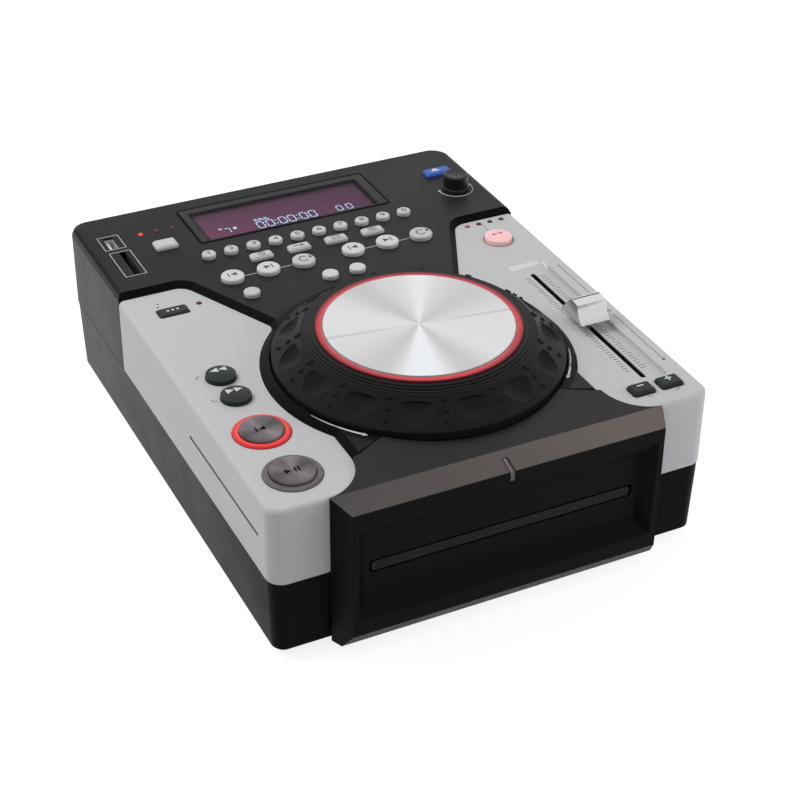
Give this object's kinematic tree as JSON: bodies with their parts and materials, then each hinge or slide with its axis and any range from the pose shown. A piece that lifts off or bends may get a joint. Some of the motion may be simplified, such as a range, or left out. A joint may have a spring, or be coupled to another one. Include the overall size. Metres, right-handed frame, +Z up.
{
  "type": "tabletop cd player",
  "caption": "Tabletop disc player for DJ use with a large jog wheel, pitch fader, transport keys, angled key deck and a front-loading disc tray.",
  "frame": {"origin": "middle of the footprint, on the surface the feet stand on", "axes": "+Z up, front with the disc tray towards -Y, +X to the right seen from the front"},
  "size_m": [0.23, 0.3082, 0.107],
  "materials": {
    "case_black": "fine texture",
    "panel_silver": "satin metallic",
    "deck_dark": "satin",
    "fascia_black": "satin, bronze strip on top",
    "window": "smoky",
    "lamps": "lit",
    "socket_metal": "bright",
    "board_green": "solder mask",
    "connector_black": "moulded",
    "foot_rubber": "matt",
    "screw_steel": "zinc",
    "jog_rubber": "satin",
    "jog_red": "lit",
    "jog_metal": "spun",
    "fader_silver": "satin",
    "knob_black": "knurled",
    "ring_red": "lit",
    "drive_dark": "moulded",
    "tray_black": "moulded",
    "gear_ivory": "moulded",
    "drive_steel": "pressed",
    "key_grey": "satin",
    "key_blue": "satin",
    "key_black": "satin",
    "key_smoke": "smoky chrome",
    "key_pink": "lit"
  },
  "bodies": {
    "case": {"bottom_case": "case_black", "left_side_panel": "panel_silver", "right_side_panel": "panel_silver", "top_deck": "deck_dark", "front_fascia": "fascia_black", "display_window": "window", "indicator_lamps": "lamps", "media_sockets": "socket_metal", "control_board": "board_green", "main_board": "board_green", "rear_connectors": "connector_black", "feet": "foot_rubber", "case_screws": "screw_steel", "jog_bearing": "screw_steel", "key_light_rings": "ring_red", "drive_chassis": "drive_dark"},
    "jog_wheel": {"jog_rim": "jog_rubber", "jog_light_ring": "jog_red", "jog_plate": "jog_metal"},
    "fader": {"pitch_fader_knob": "fader_silver"},
    "select": {"select_knob": "knob_black"},
    "rocker": {"power_switch": "connector_black"},
    "tray": {"disc_tray": "tray_black"},
    "pinion": {"loading_gear": "gear_ivory"},
    "traverse": {"traverse_plate": "drive_steel"},
    "platter": {"turntable": "drive_steel"},
    "sled": {"laser_sled": "drive_dark"},
    "number_key_1_body": {"number_key_1": "key_grey"},
    "number_key_2_body": {"number_key_2": "key_grey"},
    "number_key_3_body": {"number_key_3": "key_grey"},
    "number_key_4_body": {"number_key_4": "key_grey"},
    "number_key_5_body": {"number_key_5": "key_grey"},
    "number_key_6_body": {"number_key_6": "key_grey"},
    "number_key_7_body": {"number_key_7": "key_grey"},
    "number_key_8_body": {"number_key_8": "key_grey"},
    "number_key_9_body": {"number_key_9": "key_grey"},
    "number_key_0_body": {"number_key_0": "key_grey"},
    "bar_key_1_body": {"bar_key_1": "key_grey"},
    "bar_key_2_body": {"bar_key_2": "key_grey"},
    "bar_key_3_body": {"bar_key_3": "key_grey"},
    "bar_key_4_body": {"bar_key_4": "key_grey"},
    "loop_in_key_1_body": {"loop_in_key_1": "key_grey"},
    "loop_out_key_1_body": {"loop_out_key_1": "key_grey"},
    "loop_exit_key_1_body": {"loop_exit_key_1": "key_grey"},
    "loop_in_key_2_body": {"loop_in_key_2": "key_grey"},
    "loop_out_key_2_body": {"loop_out_key_2": "key_grey"},
    "loop_exit_key_2_body": {"loop_exit_key_2": "key_grey"},
    "tap_key_body": {"tap_key": "key_grey"},
    "memory_key_1_body": {"memory_key_1": "key_grey"},
    "memory_key_2_body": {"memory_key_2": "key_grey"},
    "source_key_body": {"source_key": "key_grey"},
    "eject_key_body": {"eject_key": "key_blue"},
    "mode_key_body": {"mode_key": "key_black"},
    "search_back_key_body": {"search_back_key": "key_black"},
    "search_forward_key_body": {"search_forward_key": "key_black"},
    "cue_key_body": {"cue_key": "key_smoke"},
    "play_key_body": {"play_key": "key_smoke"},
    "pitch_key_body": {"pitch_key": "key_pink"},
    "pitch_minus_key_body": {"pitch_minus_key": "key_black"},
    "pitch_plus_key_body": {"pitch_plus_key": "key_black"}
  },
  "joints": [
    {"name": "jog_turn", "type": "hinge", "parent": "case", "child": "jog_wheel", "pos_m": [0, -0.0559, 0.0895], "axis": [0, 0, 1], "continuous": true},
    {"name": "pitch_fader_slide", "type": "slide", "parent": "case", "child": "fader", "axis": [0, -1, 0], "range_m": [-0.05, 0.05]},
    {"name": "select_turn", "type": "hinge", "parent": "case", "child": "select", "pos_m": [0.0974, 0.0925, 0.0895], "axis": [0, 0, 1], "continuous": true},
    {"name": "power_rocker", "type": "hinge", "parent": "case", "child": "rocker", "pos_m": [-0.036, 0.14055, 0.026], "axis": [1, 0, 0], "range_deg": [-16, 0]},
    {"name": "tray_slide", "type": "slide", "parent": "case", "child": "tray", "axis": [0, -1, 0], "range_m": [0, 0.138]},
    {"name": "pinion_turn", "type": "hinge", "parent": "case", "child": "pinion", "pos_m": [-0.0523, -0.1254, 0.0429], "axis": [0, 0, 1], "range_deg": [0, 990]},
    {"name": "traverse_tilt", "type": "hinge", "parent": "case", "child": "traverse", "pos_m": [0, -0.0054, 0.03365], "axis": [1, 0, 0], "range_deg": [0, 5]},
    {"name": "platter_spin", "type": "hinge", "parent": "traverse", "child": "platter", "pos_m": [0, -0.0774, 0.0429], "axis": [0, 0, 1], "continuous": true},
    {"name": "sled_slide", "type": "slide", "parent": "traverse", "child": "sled", "axis": [0, 1, 0], "range_m": [0, 0.033]},
    {"name": "number_key_1_press", "type": "slide", "parent": "case", "child": "number_key_1_body", "axis": [0, 0, -1], "range_m": [0, 0.0008], "stiffness_N_per_m": 400, "springref_m": -0.0006},
    {"name": "number_key_2_press", "type": "slide", "parent": "case", "child": "number_key_2_body", "axis": [0, 0, -1], "range_m": [0, 0.0008], "stiffness_N_per_m": 400, "springref_m": -0.0006},
    {"name": "number_key_3_press", "type": "slide", "parent": "case", "child": "number_key_3_body", "axis": [0, 0, -1], "range_m": [0, 0.0008], "stiffness_N_per_m": 400, "springref_m": -0.0006},
    {"name": "number_key_4_press", "type": "slide", "parent": "case", "child": "number_key_4_body", "axis": [0, 0, -1], "range_m": [0, 0.0008], "stiffness_N_per_m": 400, "springref_m": -0.0006},
    {"name": "number_key_5_press", "type": "slide", "parent": "case", "child": "number_key_5_body", "axis": [0, 0, -1], "range_m": [0, 0.0008], "stiffness_N_per_m": 400, "springref_m": -0.0006},
    {"name": "number_key_6_press", "type": "slide", "parent": "case", "child": "number_key_6_body", "axis": [0, 0, -1], "range_m": [0, 0.0008], "stiffness_N_per_m": 400, "springref_m": -0.0006},
    {"name": "number_key_7_press", "type": "slide", "parent": "case", "child": "number_key_7_body", "axis": [0, 0, -1], "range_m": [0, 0.0008], "stiffness_N_per_m": 400, "springref_m": -0.0006},
    {"name": "number_key_8_press", "type": "slide", "parent": "case", "child": "number_key_8_body", "axis": [0, 0, -1], "range_m": [0, 0.0008], "stiffness_N_per_m": 400, "springref_m": -0.0006},
    {"name": "number_key_9_press", "type": "slide", "parent": "case", "child": "number_key_9_body", "axis": [0, 0, -1], "range_m": [0, 0.0008], "stiffness_N_per_m": 400, "springref_m": -0.0006},
    {"name": "number_key_0_press", "type": "slide", "parent": "case", "child": "number_key_0_body", "axis": [0, 0, -1], "range_m": [0, 0.0008], "stiffness_N_per_m": 400, "springref_m": -0.0006},
    {"name": "bar_key_1_press", "type": "slide", "parent": "case", "child": "bar_key_1_body", "axis": [0, 0, -1], "range_m": [0, 0.0008], "stiffness_N_per_m": 400, "springref_m": -0.0006},
    {"name": "bar_key_2_press", "type": "slide", "parent": "case", "child": "bar_key_2_body", "axis": [0, 0, -1], "range_m": [0, 0.0008], "stiffness_N_per_m": 400, "springref_m": -0.0006},
    {"name": "bar_key_3_press", "type": "slide", "parent": "case", "child": "bar_key_3_body", "axis": [0, 0, -1], "range_m": [0, 0.0008], "stiffness_N_per_m": 400, "springref_m": -0.0006},
    {"name": "bar_key_4_press", "type": "slide", "parent": "case", "child": "bar_key_4_body", "axis": [0, 0, -1], "range_m": [0, 0.0008], "stiffness_N_per_m": 400, "springref_m": -0.0006},
    {"name": "loop_in_key_1_press", "type": "slide", "parent": "case", "child": "loop_in_key_1_body", "axis": [0, 0, -1], "range_m": [0, 0.0008], "stiffness_N_per_m": 400, "springref_m": -0.0006},
    {"name": "loop_out_key_1_press", "type": "slide", "parent": "case", "child": "loop_out_key_1_body", "axis": [0, 0, -1], "range_m": [0, 0.0008], "stiffness_N_per_m": 400, "springref_m": -0.0006},
    {"name": "loop_exit_key_1_press", "type": "slide", "parent": "case", "child": "loop_exit_key_1_body", "axis": [0, 0, -1], "range_m": [0, 0.0008], "stiffness_N_per_m": 400, "springref_m": -0.0006},
    {"name": "loop_in_key_2_press", "type": "slide", "parent": "case", "child": "loop_in_key_2_body", "axis": [0, 0, -1], "range_m": [0, 0.0008], "stiffness_N_per_m": 400, "springref_m": -0.0006},
    {"name": "loop_out_key_2_press", "type": "slide", "parent": "case", "child": "loop_out_key_2_body", "axis": [0, 0, -1], "range_m": [0, 0.0008], "stiffness_N_per_m": 400, "springref_m": -0.0006},
    {"name": "loop_exit_key_2_press", "type": "slide", "parent": "case", "child": "loop_exit_key_2_body", "axis": [0, 0, -1], "range_m": [0, 0.0008], "stiffness_N_per_m": 400, "springref_m": -0.0006},
    {"name": "tap_key_press", "type": "slide", "parent": "case", "child": "tap_key_body", "axis": [0, 0, -1], "range_m": [0, 0.0008], "stiffness_N_per_m": 400, "springref_m": -0.0006},
    {"name": "memory_key_1_press", "type": "slide", "parent": "case", "child": "memory_key_1_body", "axis": [0, 0, -1], "range_m": [0, 0.0008], "stiffness_N_per_m": 400, "springref_m": -0.0006},
    {"name": "memory_key_2_press", "type": "slide", "parent": "case", "child": "memory_key_2_body", "axis": [0, 0, -1], "range_m": [0, 0.0008], "stiffness_N_per_m": 400, "springref_m": -0.0006},
    {"name": "source_key_press", "type": "slide", "parent": "case", "child": "source_key_body", "axis": [0, 0, -1], "range_m": [0, 0.0008], "stiffness_N_per_m": 400, "springref_m": -0.0006},
    {"name": "eject_key_press", "type": "slide", "parent": "case", "child": "eject_key_body", "axis": [0, 0, -1], "range_m": [0, 0.0008], "stiffness_N_per_m": 400, "springref_m": -0.0006},
    {"name": "mode_key_press", "type": "slide", "parent": "case", "child": "mode_key_body", "axis": [0, 0, -1], "range_m": [0, 0.0008], "stiffness_N_per_m": 400, "springref_m": -0.0006},
    {"name": "search_back_key_press", "type": "slide", "parent": "case", "child": "search_back_key_body", "axis": [0, 0, -1], "range_m": [0, 0.0008], "stiffness_N_per_m": 400, "springref_m": -0.0006},
    {"name": "search_forward_key_press", "type": "slide", "parent": "case", "child": "search_forward_key_body", "axis": [0, 0, -1], "range_m": [0, 0.0008], "stiffness_N_per_m": 400, "springref_m": -0.0006},
    {"name": "cue_key_press", "type": "slide", "parent": "case", "child": "cue_key_body", "axis": [0, 0, -1], "range_m": [0, 0.0015], "stiffness_N_per_m": 400, "springref_m": -0.0006},
    {"name": "play_key_press", "type": "slide", "parent": "case", "child": "play_key_body", "axis": [0, 0, -1], "range_m": [0, 0.0015], "stiffness_N_per_m": 400, "springref_m": -0.0006},
    {"name": "pitch_key_press", "type": "slide", "parent": "case", "child": "pitch_key_body", "axis": [0, 0, -1], "range_m": [0, 0.0008], "stiffness_N_per_m": 400, "springref_m": -0.0006},
    {"name": "pitch_minus_key_press", "type": "slide", "parent": "case", "child": "pitch_minus_key_body", "axis": [0, 0, -1], "range_m": [0, 0.0008], "stiffness_N_per_m": 400, "springref_m": -0.0006},
    {"name": "pitch_plus_key_press", "type": "slide", "parent": "case", "child": "pitch_plus_key_body", "axis": [0, 0, -1], "range_m": [0, 0.0008], "stiffness_N_per_m": 400, "springref_m": -0.0006}
  ],
  "couplings": [
    {"joint": "pinion_turn", "follows": "tray_slide", "rad_per_m": 125}
  ]
}
